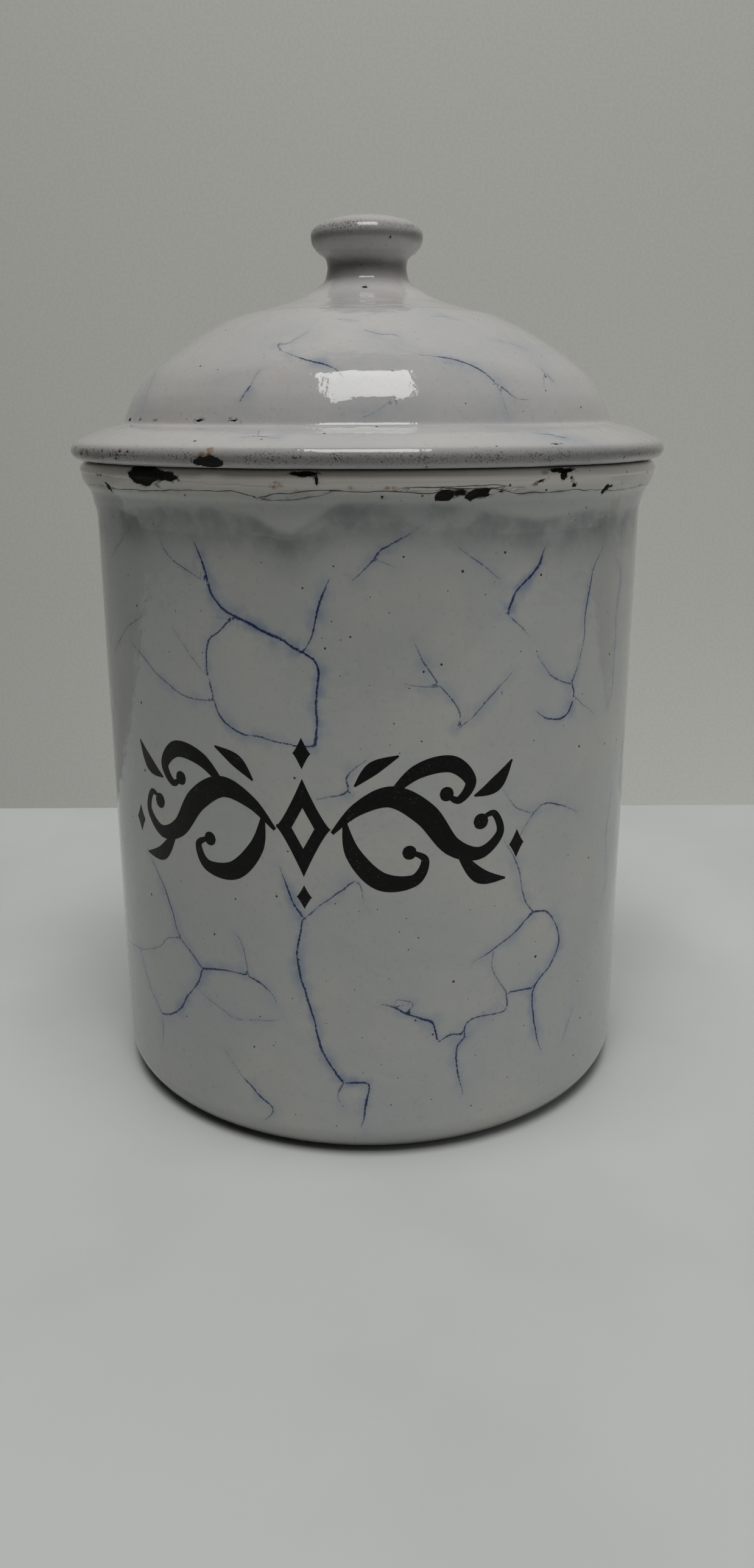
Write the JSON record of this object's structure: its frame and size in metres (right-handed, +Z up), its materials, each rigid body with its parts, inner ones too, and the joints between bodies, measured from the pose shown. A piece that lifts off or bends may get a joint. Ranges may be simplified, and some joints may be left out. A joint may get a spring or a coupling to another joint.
{
  "type": "lidded enamel canister",
  "caption": "Round lidded storage canister of enamelled sheet steel, with a rolled hem, a lift-off domed lid and a riveted spool knob.",
  "frame": {"origin": "centre of the base, on the plane the canister stands on", "axes": "+Z up along the axis of the canister and its lid; -Y is the decorated front"},
  "size_m": [0.1076, 0.1076, 0.1587],
  "materials": {
    "canister_enamel": "glossy vitreous enamel on sheet steel, greyish white with thin blue veins",
    "lid_enamel": "glossy vitreous enamel on sheet steel, faintly pinkish white with sparse blue veins",
    "inner_enamel": "plain white vitreous enamel on sheet steel",
    "steel_wire": "dark oxidised steel wire"
  },
  "bodies": {
    "canister": {"body_wall": "canister_enamel", "base_plate": "canister_enamel", "mouth_wire": "steel_wire"},
    "lid_carrier": {"lid_edge_wire": "steel_wire"},
    "lid": {"lid_shell": "lid_enamel", "lid_collar": "inner_enamel", "knob_neck": "lid_enamel", "knob_cap": "lid_enamel", "knob_rivet": "inner_enamel", "rivet_washer": "inner_enamel"}
  },
  "joints": [
    {"name": "lid_lift", "type": "slide", "parent": "canister", "child": "lid_carrier", "axis": [0, 0, 1], "range_m": [0, 0.1]},
    {"name": "lid_turn", "type": "hinge", "parent": "lid_carrier", "child": "lid", "pos_m": [0, 0, 0.1175], "axis": [0, 0, 1], "continuous": true}
  ]
}
